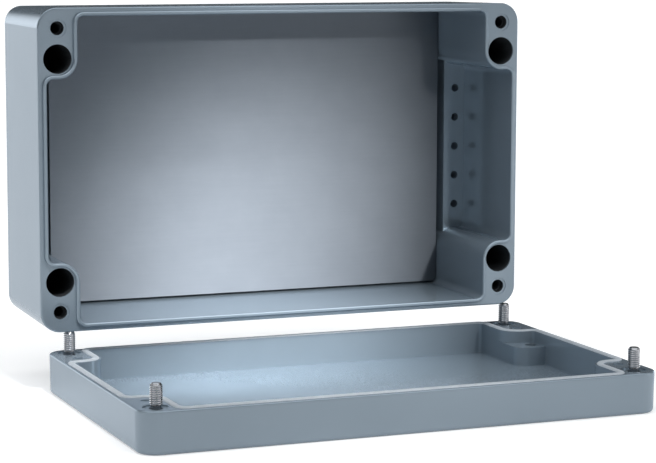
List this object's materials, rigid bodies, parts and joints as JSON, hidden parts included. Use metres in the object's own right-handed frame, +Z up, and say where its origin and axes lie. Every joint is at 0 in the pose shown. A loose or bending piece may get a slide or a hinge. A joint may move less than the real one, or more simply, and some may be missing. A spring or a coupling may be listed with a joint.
{
  "type": "die cast aluminium enclosure",
  "caption": "Rectangular die cast box shown open: lid on its back with captive screws and seal, base standing behind it with a mounting plate inside.",
  "frame": {"origin": "centre of the lid's outer face, on the table", "axes": "+X along the box's length, +Y from the lid towards the standing base's back, +Z up"},
  "size_m": [0.265, 0.2175, 0.191],
  "materials": {
    "casting": "smooth blue-grey coat with a soft gloss over die cast aluminium",
    "plate": "satin rolled sheet",
    "seal": "matt light grey rubber",
    "screw": "bright stainless steel"
  },
  "bodies": {
    "box": {"base_casting": "casting", "mounting_plate": "plate", "lid_casting": "casting", "lid_seal": "seal"},
    "screw_front_left": {"lid_screw_front_left": "screw"},
    "screw_front_right": {"lid_screw_front_right": "screw"},
    "screw_rear_left": {"lid_screw_rear_left": "screw"},
    "screw_rear_right": {"lid_screw_rear_right": "screw"}
  },
  "joints": [
    {"name": "turn_front_left", "type": "hinge", "parent": "box", "child": "screw_front_left", "pos_m": [-0.12, -0.07, 0.013], "axis": [0, 0, 1], "continuous": true},
    {"name": "turn_front_right", "type": "hinge", "parent": "box", "child": "screw_front_right", "pos_m": [0.12, -0.07, 0.013], "axis": [0, 0, 1], "continuous": true},
    {"name": "turn_rear_left", "type": "hinge", "parent": "box", "child": "screw_rear_left", "pos_m": [-0.12, 0.07, 0.013], "axis": [0, 0, 1], "continuous": true},
    {"name": "turn_rear_right", "type": "hinge", "parent": "box", "child": "screw_rear_right", "pos_m": [0.12, 0.07, 0.013], "axis": [0, 0, 1], "continuous": true}
  ]
}
